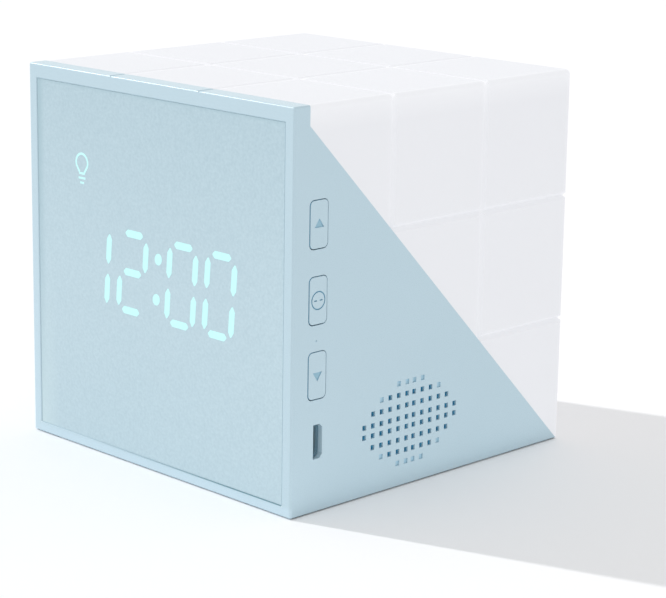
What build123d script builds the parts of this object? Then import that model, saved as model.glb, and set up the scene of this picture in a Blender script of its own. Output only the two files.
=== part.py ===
from build123d import *
import os
from math import hypot, radians, tan

os.makedirs("parts", exist_ok=True)

# Whole clock, in millimetres: X runs towards the keys, Y towards the back, Z up from the table
width = 90.0
depth = 90.0
height = 90.0
foot_proud = 0.15

# Base: one moulding with a front frame, two triangular cheeks and a floor
wall = 2.2
frame_depth = 4.6
frame_head = 4.4
heel = 0.8
frame_side = 2.8
frame_top = 3.4
frame_bottom = 2.5
base_round = 0.5
rim_chamfer = 0.15
head_notch_wide = 0.9
head_notch_deep = 0.35
pinhole_dia = 0.5
pinhole_deep = 0.15
pinhole_shift = 0.55
pinhole_drop = 0.5

# Front panel, bonded on a ledge inside the frame
panel_setback = 0.15
panel_thick = 2.0
panel_gap = 0.12
ledge_wide = 2.0
ledge_thick = 1.5

# Lamp shade: frosted shell over the slope, scored into thirds
shade_wall = 2.0
shade_round = 1.2
score_wide = 1.7
score_deep = 0.8
score_root = 0.3
lip_thick = 1.3
lip_deep = 2.5
lip_rise = 3.0
lip_gap = 0.15
lip_end = 11.0
post_wide = 7.0
post_deep = 5.5
post_tall = 16.0
tie_rise = 11.0
hook_wide = 8.0
hook_tall = 1.2
hook_deep = 1.4
hook_gap = 0.2
hook_spread = 46.0

# Lamp tray: reflector lying under the slope, with the lamp board on it
tray_thick = 2.0
tray_gap = 0.3
seat_wide = 7.5
seat_long = 11.0
seat_deep = 6.0
seat_top_at = 40.0
seat_low_at = 17.0
lamp_board_wide = 48.0
lamp_board_long = 56.0
lamp_board_thick = 1.6
lamp_board_clear = 2.0
lamp_chip_wide = 2.8
lamp_chip_long = 3.5
lamp_chip_tall = 0.8
lamp_chip_pitch = 16.0
lamp_chip_count = 3
lead_hole_dia = 5.0

# Display: film and mask between the panel and the board, laid out as four slanted digits
digit_gap = 2.4
digit_side = 2.5
colon_room = 3.2
digit_row = 9.2
digit_slant = 0.08
upright_long = 6.85
upright_thick = 1.9
bar_gap = 0.8
bar_thick = 1.75
segment_tip_share = 0.15
colon_dia = 2.6
colon_rise = 4.7
symbol_wide = 5.6
symbol_tall = 8.2
symbol_corner = 1.8
mask_margin = 1.8
mask_switch_gap = 4.7
mask_tray_gap = 1.26
film_thick = 0.25
led_long = 1.6
led_wide = 0.8
led_tall = 0.7

# Main board, parallel to the front panel
board_thick = 1.6
board_gap = 0.5
board_post_dia = 5.0
board_post_inset = 6.4
board_post_low = 7.5
post_rib = 2.2
chip_long = 10.0
chip_wide = 6.0
chip_tall = 1.6
clock_chip_side = 5.0
clock_chip_x = -16.0
chip_z = 40.0
socket_wide = 7.5
socket_tall = 6.0
socket_deep = 4.0
battery_socket_inset = 7.0
speaker_socket_x = 18.0
speaker_socket_rise = 5.0
lamp_socket_x = 12.0

# Keys in the right cheek, each on a side-acting switch
key_wide = 5.2
key_corner = 1.1
key_gap = 0.2
key_play = 0.12
key_edge = 0.1
key_between = 4.77
key_socket_gap = 5.2
key_tray_gap = 2.15
key_travel = 0.5
collar_rim = 0.7
collar_thick = 1.0
collar_gap = 0.7
stem_long = 1.0
stem_wide = 1.9
stem_tall = 3.6
plunger_long = 2.4
plunger_wide = 1.5
plunger_tall = 3.0
plunger_out = 1.5
plunger_gap = 0.1
switch_long = 3.5
switch_wide = 3.1
switch_tall = 6.0
symbol_sink = 0.2
arrow_wide = 2.8
arrow_tall = 2.0
arrow_shift = 0.3
ring_dia = 4.2
ring_line = 0.3
dash_long = 0.85
dash_thick = 0.28
dash_spread = 1.65

# Charging socket, its long side upright, on the front of the main board
usb_wide = 7.5
usb_thick = 2.45
usb_long = 5.4
usb_shell = 0.3
usb_chamfer = 0.8
usb_gap = 0.14
usb_setback = 1.2
usb_z = 16.2
tongue_thick = 0.6
tongue_wide = 5.0
tongue_setback = 0.6
tongue_root = 1.2

# Speaker behind a grille of square holes in the right cheek
grille_z = 15.05
grille_hole = 1.2
grille_pitch = 2.72
grille_middle = 2.3
grille_through = (6, 5, 3, 0)
grille_blind = (0, 0, 1, 2)
blind_deep = 0.35
speaker_front_room = 9.0
speaker_rear_room = 3.16
speaker_tall = 20.0
gasket_thick = 0.8
gasket_rim = 1.5
flange_thick = 1.2
flange_rim = 1.8
basket_inset = 1.0
basket_deep = 7.5
basket_plate = 1.0
cone_gap = 0.4
cone_thick = 0.6
cone_clear = 1.0
cone_stroke = 0.4
dome_rise = 1.0
dome_dia = 10.0
coil_dia = 10.0
coil_wall = 0.5
coil_clear = 1.1
coil_gap = 0.5
pole_gap = 0.3
pole_clear = 0.8
magnet_dia = 14.0
magnet_thick = 4.5
washer_gap = 0.1
washer_thick = 0.6
ear_gap = 0.1
boss_dia = 5.0

# Battery pouch lying on the floor
battery_side_gap = 5.8
battery_deep = 34.0
battery_thick = 10.0
battery_round = 2.0
battery_from_front = 17.0
tape_thick = 0.5
tape_margin = 6.0

# Internal leads, in pairs
lead_dia = 1.1
lead_pitch = 1.5
lead_inset = 3.0
lead_bend_share = 0.45
lead_drop = 4.0
lead_run = 4.4
lead_fall = 8.4
battery_lead_rise = 10.9

# Screws and feet
screw_dia = 2.0
screw_long = 6.0
screw_head_dia = 3.8
screw_head_tall = 1.4
screw_slot = 0.5
screw_slot_deep = 0.6
thread_gap = 0.05
skin = 0.7
foot_dia = 9.0
foot_seat = 1.0
foot_gap = 0.1
foot_inset = 12.0
foot_back_inset = 19.0
cut = 1.0

# Planes and levels that the pieces share
right = width / 2
front = -depth / 2
back = depth / 2
low = foot_proud
top = height
inner_x = right - wall
floor_z = low + wall
panel_front = front + panel_setback
ledge_front = panel_front + panel_thick
ledge_back = ledge_front + ledge_thick
window_half = right - frame_side
window_low = low + frame_bottom
window_high = top - frame_top
display_z = (low + top) / 2
collar_half = key_wide / 2 + collar_rim
key_y = ledge_back + collar_gap + collar_half
board_front = key_y + switch_wide / 2
board_rear = board_front + board_thick
socket_rear = board_rear + socket_deep

# The slope runs from the frame's head down to the heel, and everything on it is placed along it
slope_top = (front + frame_depth, top - frame_head)
slope_run = (back - heel) - slope_top[0]
slope_drop = slope_top[1] - low
slope_long = hypot(slope_run, slope_drop)
slope = Plane((0, *slope_top), x_dir=(1, 0, 0), z_dir=(0, slope_drop, slope_run))
tray_top = -(lip_deep + tray_gap)
tray_under = tray_top - tray_thick


def slope_yz(along, above):
    """Y and Z of a point a distance down the slope and above it."""
    point = slope.from_local_coords((0, along, above))
    return point.Y, point.Z


def height_under_tray(y):
    """Z of the tray's underside at a given Y."""
    return slope_top[1] + (tray_under * slope_long - slope_drop * (y - slope_top[0])) / slope_run


def back_under_tray(z):
    """Y of the tray's underside at a given Z."""
    return slope_top[0] + (tray_under * slope_long - slope_run * (z - slope_top[1])) / slope_drop


def slope_along(y, above):
    """Distance down the slope of a point with a given Y and height above the slope."""
    return ((y - slope_top[0]) * slope_long - slope_drop * above) / slope_run


def block(x, y, z):
    """A box between two values on each axis."""
    size = Box(x[1] - x[0], y[1] - y[0], z[1] - z[0])
    return Pos((x[0] + x[1]) / 2, (y[0] + y[1]) / 2, (z[0] + z[1]) / 2) * size


def along_x(outline, x):
    """An outline drawn in Y and Z, extruded between two X values."""
    return extrude(Plane.YZ.offset(x[0]) * outline, x[1] - x[0], dir=(1, 0, 0))


def along_y(outline, y):
    """An outline drawn in X and Z, extruded between two Y values."""
    return extrude(Plane.XZ.offset(-y[0]) * outline, y[1] - y[0], dir=(0, 1, 0))


def along_z(outline, z):
    """An outline drawn in X and Y, extruded between two Z values."""
    return extrude(Plane.XY.offset(z[0]) * outline, z[1] - z[0], dir=(0, 0, 1))


def save(name, shape):
    """Write one node of the clock."""
    export_step(shape, f"parts/{name}.step")


def screw(long):
    """A pan-head screw, its head standing on Z = 0 and its shank below."""
    head = along_z(Circle(screw_head_dia / 2), (0, screw_head_tall))
    slot_z = (screw_head_tall - screw_slot_deep, screw_head_tall + cut)
    slot = along_z(Rectangle(screw_head_dia + cut, screw_slot), slot_z)
    shank = along_z(Circle(screw_dia / 2), (-long, 0))
    return head - slot + shank


def pilot(long):
    """The hole that such a screw bites into, a little deeper than its shank."""
    return along_z(Circle(screw_dia / 2 + thread_gap), (-long - thread_gap, cut))


def lead(start_points, step):
    """Two wires side by side along a path of straight runs, with bends as wide as the runs allow."""
    wires = []
    for side in (-0.5, 0.5):
        shift = Vector(step) * (side * lead_pitch)
        points = [Vector(point) + shift for point in start_points]
        runs = [ahead - point for point, ahead in zip(points, points[1:])]
        bends = []
        for before, after in zip(runs, runs[1:]):
            half_turn = radians(before.get_angle(after)) / 2
            bends.append(lead_bend_share * min(before.length, after.length) / tan(half_turn))
        path = FilletPolyline(*points, radius=bends)
        end = Plane(path @ 0, z_dir=path % 0)
        wires.append(sweep(end * Circle(lead_dia / 2), path=path))
    return Compound(children=wires)


def thirds(lowest, highest):
    """The two places that divide a side of the clock into three."""
    third = (highest - lowest) / 3
    return (lowest + third, highest - third)


# The column of keys fills the room between the charging socket and the tray
key_column = (
    usb_z + usb_wide / 2 + key_socket_gap,
    height_under_tray(key_y + collar_half) - key_tray_gap,
)
collar_tall = (key_column[1] - key_column[0] - 2 * key_between) / 3
key_tall = collar_tall - 2 * collar_rim
key_pitch = collar_tall + key_between
key_middle_z = sum(key_column) / 2
keys = {
    "up": key_middle_z + key_pitch,
    "mode": key_middle_z,
    "down": key_middle_z - key_pitch,
}
collar_x = (inner_x - collar_thick, inner_x)
switch_front = collar_x[0] - stem_long - plunger_out
switch_x = (switch_front - switch_long, switch_front)
plunger_x = (switch_x[1] + plunger_out - plunger_long, switch_x[1] + plunger_out)

# The display fills the room between the switches
mask_half = switch_x[0] - mask_switch_gap
symbol_x = -(mask_half - mask_margin - symbol_wide / 2)
digit_wide = (mask_half - mask_margin - digit_side - colon_room - digit_gap) / 2
digit_half = (digit_wide - upright_thick) / 2
digit_inner = colon_room + digit_wide / 2
digit_outer = digit_inner + digit_wide + digit_gap
bar_long = digit_wide - 2 * upright_thick - bar_gap
mask_low = display_z - digit_row - bar_thick / 2 - mask_margin
mask_high = height_under_tray(board_front) - mask_tray_gap
symbol_z = mask_high - mask_margin - symbol_tall / 2
colon_spots = [(digit_slant * rise, display_z + rise) for rise in (-colon_rise, colon_rise)]

# The speaker fills the room between the main board and the tray
speaker_front = board_rear + speaker_front_room
speaker_rear = back_under_tray(grille_z + speaker_tall / 2) - speaker_rear_room
speaker_long = speaker_rear - speaker_front
speaker_y = (speaker_front + speaker_rear) / 2
basket_rear = inner_x - basket_deep
magnet_rear = basket_rear - magnet_thick

# Screw and post positions that two or more pieces share
board_post_x = right - board_post_inset
board_post_high = key_middle_z + key_pitch / 2
board_posts = [
    (side * board_post_x, z) for side in (-1, 1) for z in (board_post_low, board_post_high)
]
tray_screw_x = inner_x - seat_wide / 2 - lip_thick
seats_along = (seat_top_at, slope_long - seat_low_at)
tray_seats = [(side, at) for side in (-1, 1) for at in seats_along]
post_x = (inner_x - lip_gap - post_wide, inner_x - lip_gap)
post_y = (back - shade_wall - post_deep, back - shade_wall)
shade_screw_x = sum(post_x) / 2
shade_screw_y = sum(post_y) / 2
ear_reach = speaker_long / 2 + ear_gap + boss_dia / 2
speaker_screws = (speaker_y - ear_reach, speaker_y + ear_reach)
ear_top = inner_x - gasket_thick - flange_thick
boss_screw_long = gasket_thick + flange_thick + wall - skin
usb_y = board_front - usb_thick / 2
hook_z = (top - frame_head / 2 - hook_tall / 2, top - frame_head / 2 + hook_tall / 2)
battery_y = (front + battery_from_front, front + battery_from_front + battery_deep)
battery_z = (floor_z + tape_thick, floor_z + tape_thick + battery_thick)
battery_half = magnet_rear - battery_side_gap
battery_socket_x = battery_socket_inset - battery_half
battery_socket_z = battery_z[1] + battery_lead_rise
speaker_socket_z = grille_z + speaker_socket_rise
lead_hole_at = slope_along(socket_rear + lead_run, tray_under - lead_drop)
lead_hole_under = slope_yz(lead_hole_at, tray_under - lead_drop)
lamp_socket_z = lead_hole_under[1] - lead_fall
foot_spots = [
    (side * (right - foot_inset), y)
    for side in (-1, 1)
    for y in (front + foot_inset, back - foot_back_inset)
]


def board_screw_place(x, z, y):
    """A place on the board whose own Z points to the back."""
    return Plane((x, y, z), x_dir=(1, 0, 0), z_dir=(0, 1, 0)).location


def tray_screw_place(side, at):
    """A place on top of the tray, square to the slope."""
    return slope.location * Pos(side * tray_screw_x, at, tray_top)


def shade_screw_place(side):
    """A place in the floor whose own Z points down."""
    level = floor_z - skin
    return Plane((side * shade_screw_x, shade_screw_y, level), x_dir=(1, 0, 0), z_dir=(0, 0, -1)).location


def speaker_screw_place(y, x):
    """A place behind the right cheek whose own Z points inwards."""
    return Plane((x, y, grille_z), x_dir=(0, 1, 0), z_dir=(-1, 0, 0)).location


def socket_outline(grow):
    """The charging socket's outline: a flat back and two chamfered corners towards the board."""
    y = usb_thick / 2 + grow
    z = usb_wide / 2 + grow
    corner = usb_chamfer
    points = [(-y, -z), (y - corner, -z), (y, -z + corner), (y, z - corner), (y - corner, z), (-y, z)]
    return Pos(usb_y, usb_z) * Polygon(*points, align=None)


def speaker_oval(shrink):
    """The speaker's oval outline, drawn in by the same amount all round."""
    return Pos(speaker_y, grille_z) * SlotOverall(speaker_long - 2 * shrink, speaker_tall - 2 * shrink)


def segment(x, z, long, thick, upright):
    """One display segment, pointed at both ends and leaning with the digit."""
    reach = long / 2
    half = thick / 2
    shoulder = reach - segment_tip_share * long
    upper = [(-reach, 0), (-shoulder, half), (shoulder, half)]
    points = upper + [(-u, -v) for u, v in upper]
    if upright:
        points = [(v, u) for u, v in points]
    leant = [(x + u + digit_slant * (z - display_z + v), z + v) for u, v in points]
    return Polygon(*leant, align=None)


def digit_spots():
    """Centre, length, thickness and direction of the segments of all four digits."""
    spots = []
    for centre in (-digit_outer, -digit_inner, digit_inner, digit_outer):
        for row in (-1, 0, 1):
            spots.append((centre, display_z + row * digit_row, bar_long, bar_thick, False))
        for side in (-1, 1):
            for half_row in (-0.5, 0.5):
                z = display_z + half_row * digit_row
                spots.append((centre + side * digit_half, z, upright_long, upright_thick, True))
    return spots


def base_body():
    """The moulding's outer block under the slope, with softened outer edges."""
    outline = [(front, low), (front, top), (slope_top[0], top), slope_top, (back - heel, low)]
    body = along_x(Polygon(*outline, align=None), (-right, right))
    uprights = body.edges().filter_by(Axis.Z).group_by(Axis.Y)[0]
    across = body.edges().filter_by(Axis.X)
    front_across = across.group_by(Axis.Y)[0]
    lengthwise = body.edges().filter_by(Axis.Y)
    return fillet(uprights + front_across + lengthwise, base_round)


def base_supports():
    """Posts, seats and bosses that stand on the moulding's inner walls."""
    supports = []
    post_y_range = (ledge_front, board_front)
    for x, z in board_posts:
        supports.append(along_y(Pos(x, z) * Circle(board_post_dia / 2), post_y_range))
    for side in (-1, 1):
        x = side * board_post_x
        outer = side * right
        rib_z = (board_post_high - post_rib / 2, board_post_high + post_rib / 2)
        supports.append(block(sorted((x, outer)), post_y_range, rib_z))
        rib_x = (x - post_rib / 2, x + post_rib / 2)
        supports.append(block(rib_x, post_y_range, (low, board_post_low)))
        seat_x = sorted((side * (inner_x - seat_wide), outer))
        for at in seats_along:
            seat_s = (at - seat_long / 2, at + seat_long / 2)
            supports.append(slope.location * block(seat_x, seat_s, (tray_under - seat_deep, tray_under)))
    for y in speaker_screws:
        supports.append(along_x(Pos(y, grille_z) * Circle(boss_dia / 2), (ear_top, right)))
    return supports


def base_screw_holes():
    """Every hole that a screw bites into or passes through."""
    holes = [board_screw_place(x, z, board_rear) * pilot(screw_long) for x, z in board_posts]
    holes += [tray_screw_place(side, at) * pilot(screw_long) for side, at in tray_seats]
    reach = boss_screw_long + washer_thick
    for y in speaker_screws:
        holes.append(speaker_screw_place(y, ear_top - washer_thick) * pilot(reach))
    for side in (-1, 1):
        head_room = along_z(Circle(screw_head_dia / 2 + thread_gap), (0, wall))
        holes.append(shade_screw_place(side) * (pilot(screw_long) + head_room))
    return holes


def grille_holes():
    """Square holes in four like quarters, the outermost ones blind."""
    holes = []
    for row, (through, blind) in enumerate(zip(grille_through, grille_blind)):
        for column in range(through + blind):
            reach_y = grille_middle / 2 + column * grille_pitch
            reach_z = grille_middle / 2 + row * grille_pitch
            bottom = inner_x - gasket_thick if column < through else right - blind_deep
            for side_y in (-1, 1):
                for side_z in (-1, 1):
                    place = Pos(speaker_y + side_y * reach_y, grille_z + side_z * reach_z)
                    hole = place * Rectangle(grille_hole, grille_hole)
                    holes.append(along_x(hole, (bottom, right + cut)))
    return holes


def make_base():
    """The coloured moulding, open along the slope and at the window."""
    body = base_body()
    hollow = block((-inner_x, inner_x), (ledge_back, back + cut), (floor_z, slope_top[1]))
    window = block((-window_half, window_half), (front - cut, ledge_front), (window_low, window_high))
    ledge_half = window_half - ledge_wide
    ledge_z = (window_low + ledge_wide, window_high - ledge_wide)
    opening = block((-ledge_half, ledge_half), (ledge_front - cut, ledge_back + cut), ledge_z)
    base = body - window
    rim = base.edges().group_by(Axis.Y)[0]
    rim_z = (window_low - base_round, window_high + base_round)
    rim = [edge for edge in rim if rim_z[0] < edge.center().Z < rim_z[1]]
    inner_rim = [edge for edge in rim if abs(edge.center().X) < window_half + base_round]
    base = chamfer(inner_rim, rim_chamfer)
    base = base - hollow - opening
    base = base + [support & body for support in base_supports()]
    cheek_x = (inner_x - cut, right + cut)
    cuts = base_screw_holes() + grille_holes()
    for z in keys.values():
        hole = RectangleRounded(key_wide + 2 * key_gap, key_tall + 2 * key_gap, key_corner + key_gap)
        cuts.append(along_x(Pos(key_y - key_play, z) * hole, cheek_x))
    cuts.append(along_x(socket_outline(usb_gap), cheek_x))
    pinhole_z = key_middle_z - key_pitch / 2 - pinhole_drop
    pinhole = Pos(key_y - pinhole_shift, pinhole_z) * Circle(pinhole_dia / 2)
    cuts.append(along_x(pinhole, (right - pinhole_deep, right + cut)))
    for x, y in foot_spots:
        cuts.append(along_z(Pos(x, y) * Circle(foot_dia / 2 + foot_gap), (low - cut, low + foot_seat)))
    slot_z = (hook_z[0] - hook_gap, hook_z[1] + hook_gap)
    for side in (-1, 1):
        middle = side * hook_spread / 2
        slot_x = (middle - hook_wide / 2 - hook_gap, middle + hook_wide / 2 + hook_gap)
        cuts.append(block(slot_x, (slope_top[0] - hook_deep - hook_gap, slope_top[0] + cut), slot_z))
    half = head_notch_wide / 2
    notch = Polygon((-half, 0), (0, -head_notch_deep), (half, 0), align=None)
    for x in thirds(-right, right):
        cuts.append(along_y(Pos(x, top) * notch, (front - cut, slope_top[0] + cut)))
    return base - cuts


def score(origin, outward, along):
    """A V-shaped score line cut into a face, running along one axis."""
    half = score_wide / 2
    root = score_root / 2
    flare = half + (half - root) / score_deep * cut
    points = [(-flare, cut), (-root, -score_deep), (root, -score_deep), (flare, cut)]
    across = Vector(outward).cross(Vector(along))
    plane = Plane(origin, x_dir=across, z_dir=along)
    return extrude(plane * Polygon(*points, align=None), max(width, depth, height), both=True)


def shade_scores():
    """The lines that divide the top, back and sides of the shade into thirds."""
    lines = []
    for x, y, z in zip(thirds(-right, right), thirds(front, back), thirds(low, top)):
        lines.append(score((0, y, top), (0, 0, 1), (1, 0, 0)))
        lines.append(score((x, 0, top), (0, 0, 1), (0, 1, 0)))
        lines.append(score((0, back, z), (0, 1, 0), (1, 0, 0)))
        lines.append(score((x, back, 0), (0, 1, 0), (0, 0, 1)))
        for side in (-1, 1):
            lines.append(score((side * right, 0, z), (side, 0, 0), (0, 1, 0)))
            lines.append(score((side * right, y, 0), (side, 0, 0), (0, 0, 1)))
    return lines


def make_shade():
    """The frosted shell, with a lip inside the cheeks, hooks in the head and two screw posts."""
    outline = [slope_top, (slope_top[0], top), (back, top), (back, low), (back - heel, low)]
    body = along_x(Polygon(*outline, align=None), (-right, right))
    uprights = body.edges().filter_by(Axis.Z).group_by(Axis.Y)[-1]
    lengthwise = body.edges().filter_by(Axis.Y).group_by(Axis.Z)[-1]
    rear = body.edges().filter_by(Axis.X).group_by(Axis.Z)[-1].group_by(Axis.Y)[-1]
    body = fillet(uprights + lengthwise + rear, shade_round)
    half = right - shade_wall
    hollow_y = (slope_top[0] + shade_wall, back - shade_wall)
    shade = body - block((-half, half), hollow_y, (low - cut, top - shade_wall))
    inside = block((-right, right), (slope_top[0], back - shade_wall), (floor_z, top - shade_wall / 2))
    lip_x = (inner_x - lip_gap - lip_thick, inner_x - lip_gap)
    lip_s = (lip_rise, slope_long - lip_end)
    for side in (-1, 1):
        skirt_x = sorted((side * lip_x[0], side * lip_x[1]))
        root_x = sorted((side * lip_x[0], side * (right - shade_wall / 2)))
        skirt = slope.location * block(skirt_x, lip_s, (-lip_deep, lip_rise))
        root = slope.location * block(root_x, lip_s, (0, lip_rise))
        shade += (skirt + root) & inside
        post = block(sorted((side * post_x[0], side * post_x[1])), post_y, (floor_z, floor_z + post_tall))
        tie = block(
            sorted((side * post_x[0], side * (right - shade_wall / 2))),
            (post_y[0], back - shade_wall / 2),
            (floor_z + tie_rise, floor_z + post_tall),
        )
        shade += post + tie
        middle = side * hook_spread / 2
        hook_x = (middle - hook_wide / 2, middle + hook_wide / 2)
        shade += block(hook_x, (slope_top[0] - hook_deep, slope_top[0] + shade_wall / 2), hook_z)
    cuts = shade_scores()
    cuts += [shade_screw_place(side) * pilot(screw_long) for side in (-1, 1)]
    return shade - cuts


def make_panel():
    """The matt front panel that the display shines through."""
    half = window_half - panel_gap
    panel_z = (window_low + panel_gap, window_high - panel_gap)
    return block((-half, half), (panel_front, ledge_front), panel_z)


def make_film():
    """The thin diffusing film between the panel and the mask."""
    return block((-mask_half, mask_half), (ledge_front, ledge_front + film_thick), (mask_low, mask_high))


def make_mask():
    """The light box: one well for each segment, the colon's dots and the bulb symbol."""
    reach = (ledge_front + film_thick, board_front)
    mask = block((-mask_half, mask_half), reach, (mask_low, mask_high))
    through = (reach[0] - cut, reach[1] + cut)
    wells = [along_y(segment(*spot), through) for spot in digit_spots()]
    wells += [along_y(Pos(x, z) * Circle(colon_dia / 2), through) for x, z in colon_spots]
    symbol = Pos(symbol_x, symbol_z) * RectangleRounded(symbol_wide, symbol_tall, symbol_corner)
    wells.append(along_y(symbol, through))
    return mask - wells


def make_segment_leds():
    """One small light for each well, soldered to the main board."""
    lights = []
    reach = (board_front - led_tall, board_front)
    for x, z, _, _, upright in digit_spots():
        size = (led_wide, led_long) if upright else (led_long, led_wide)
        place = Pos(x + digit_slant * (z - display_z), z)
        lights.append(along_y(place * Rectangle(*size), reach))
    for x, z in colon_spots + [(symbol_x, symbol_z)]:
        lights.append(along_y(Pos(x, z) * Rectangle(led_long, led_wide), reach))
    return Compound(children=lights)


def make_main_board():
    """The upright circuit board behind the display."""
    half = inner_x - collar_thick - key_travel - board_gap
    high = height_under_tray(board_rear) - board_gap
    board = block((-half, half), (board_front, board_rear), (floor_z + board_gap, high))
    return board - [board_screw_place(x, z, board_rear) * pilot(screw_long) for x, z in board_posts]


def make_chips():
    """The clock chip and the charging chip on the back of the board."""
    driver = along_y(Pos(0, chip_z) * Rectangle(chip_long, chip_wide), (board_rear, board_rear + chip_tall))
    timer_outline = Pos(clock_chip_x, chip_z) * Rectangle(clock_chip_side, clock_chip_side)
    timer = along_y(timer_outline, (board_rear, board_rear + chip_tall))
    return Compound(children=[driver, timer])


def make_lead_sockets():
    """Three small sockets on the back of the board, one for each lead."""
    spots = [
        (battery_socket_x, battery_socket_z),
        (speaker_socket_x, speaker_socket_z),
        (lamp_socket_x, lamp_socket_z),
    ]
    reach = (board_rear, socket_rear)
    outline = Rectangle(socket_wide, socket_tall)
    return Compound(children=[along_y(Pos(x, z) * outline, reach) for x, z in spots])


def arrow(z, up):
    """A small triangle on a key, pointing up or down."""
    tip = arrow_tall / 2 if up else -arrow_tall / 2
    shift = arrow_shift if up else -arrow_shift
    points = [(-arrow_wide / 2, -tip), (arrow_wide / 2, -tip), (0, tip)]
    return Pos(key_y, z + shift) * Polygon(*points, align=None)


def ring_symbol(z):
    """A ring with two dashes on the middle key."""
    ring = Circle(ring_dia / 2) - Circle(ring_dia / 2 - ring_line)
    dashes = [Pos(side * dash_spread / 2, 0) * Rectangle(dash_long, dash_thick) for side in (-1, 1)]
    return Pos(key_y, z) * (ring + dashes)


key_symbols = {
    "up": arrow(keys["up"], True),
    "mode": ring_symbol(keys["mode"]),
    "down": arrow(keys["down"], False),
}


def make_key(name, z):
    """A key: its cap in the cheek, a collar behind the wall and a stem to the switch."""
    cap = along_x(Pos(key_y, z) * RectangleRounded(key_wide, key_tall, key_corner), (inner_x, right))
    cap = chamfer(cap.faces().sort_by(Axis.X)[-1].edges(), key_edge)
    cap -= along_x(key_symbols[name], (right - symbol_sink, right + cut))
    outline = Pos(key_y, z) * RectangleRounded(2 * collar_half, collar_tall, key_corner + collar_rim)
    collar = along_x(outline, collar_x)
    stem = along_x(Pos(key_y, z) * Rectangle(stem_wide, stem_tall), (plunger_x[1], collar_x[0]))
    return cap + collar + stem


def make_plunger(z):
    """The switch's own plunger, touching the key's stem."""
    return along_x(Pos(key_y, z) * Rectangle(plunger_wide, plunger_tall), plunger_x)


def make_switch_bodies():
    """Three side-acting switches on the front of the board, each open for its plunger."""
    bodies = []
    for z in keys.values():
        body_y = (board_front - switch_wide, board_front)
        body = block(switch_x, body_y, (z - switch_tall / 2, z + switch_tall / 2))
        guide = Rectangle(plunger_wide + 2 * plunger_gap, plunger_tall + 2 * plunger_gap)
        guide_x = (plunger_x[0] - key_travel - plunger_gap, switch_x[1] + cut)
        bodies.append(body - along_x(Pos(key_y, z) * guide, guide_x))
    return Compound(children=bodies)


usb_x = (right - usb_setback - usb_long, right - usb_setback)


def make_usb_shell():
    """The charging socket's folded steel shell, open at both ends."""
    return along_x(socket_outline(0) - socket_outline(-usb_shell), usb_x)


def make_usb_tongue():
    """The socket's plastic root and contact tongue."""
    root = along_x(socket_outline(-usb_shell), (usb_x[0], usb_x[0] + tongue_root))
    tongue = Pos(usb_y, usb_z) * Rectangle(tongue_thick, tongue_wide)
    return root + along_x(tongue, (usb_x[0], usb_x[1] - tongue_setback))


def make_gasket():
    """The foam ring that seals the speaker against the cheek."""
    ring = speaker_oval(0) - speaker_oval(gasket_rim)
    return along_x(ring, (inner_x - gasket_thick, inner_x))


def make_basket():
    """The speaker's stamped basket: a flange, a wall and a plate for the magnet."""
    flange = along_x(speaker_oval(0) - speaker_oval(flange_rim), (ear_top, inner_x - gasket_thick))
    side = along_x(speaker_oval(basket_inset) - speaker_oval(flange_rim), (basket_rear, ear_top))
    hole = Pos(speaker_y, grille_z) * Circle(coil_dia / 2 + coil_gap)
    plate = along_x(speaker_oval(basket_inset) - hole, (basket_rear, basket_rear + basket_plate))
    return flange + side + plate


cone_front = inner_x - cone_clear - cone_stroke - dome_rise
cone_x = (cone_front - cone_thick, cone_front)
coil_rear = basket_rear + coil_clear + cone_stroke
pole_front = cone_x[0] - cone_stroke - pole_clear


def make_cone():
    """The oval cone, free inside the flange, with a low dome over the coil."""
    sheet = along_x(speaker_oval(flange_rim + cone_gap), cone_x)
    sphere_r = ((dome_dia / 2) ** 2 + dome_rise ** 2) / (2 * dome_rise)
    ball = Pos(cone_x[1] + dome_rise - sphere_r, speaker_y, grille_z) * Sphere(sphere_r)
    reach = dome_dia / 2 + dome_rise
    cap_y = (speaker_y - reach, speaker_y + reach)
    cap_z = (grille_z - reach, grille_z + reach)
    return sheet + (ball & block((cone_x[0], cone_x[1] + 2 * dome_rise), cap_y, cap_z))


def make_coil():
    """The voice coil behind the cone."""
    ring = Circle(coil_dia / 2) - Circle(coil_dia / 2 - coil_wall)
    return along_x(Pos(speaker_y, grille_z) * ring, (coil_rear, cone_x[0]))


def make_magnet():
    """The magnet, with its pole standing inside the coil."""
    place = Pos(speaker_y, grille_z)
    disc = along_x(place * Circle(magnet_dia / 2), (magnet_rear, basket_rear))
    pole_r = coil_dia / 2 - coil_wall - pole_gap
    return disc + along_x(place * Circle(pole_r), (basket_rear, pole_front))


def make_speaker_washers():
    """Two washers that clamp the speaker's flange on its bosses."""
    washer_r = ear_reach - speaker_long / 2 + basket_inset - washer_gap
    washer = Circle(washer_r) - Circle(screw_dia / 2 + thread_gap)
    reach = (ear_top - washer_thick, ear_top)
    return Compound(children=[along_x(Pos(y, grille_z) * washer, reach) for y in speaker_screws])


def make_battery():
    """The rechargeable pouch cell, with rounded long edges."""
    outline = RectangleRounded(battery_deep, battery_thick, battery_round)
    place = Pos(sum(battery_y) / 2, sum(battery_z) / 2)
    return along_x(place * outline, (-battery_half, battery_half))


def make_battery_tape():
    """The adhesive pad under the cell."""
    half = battery_half - tape_margin
    tape_y = (battery_y[0] + tape_margin, battery_y[1] - tape_margin)
    return block((-half, half), tape_y, (floor_z, battery_z[0]))


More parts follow.
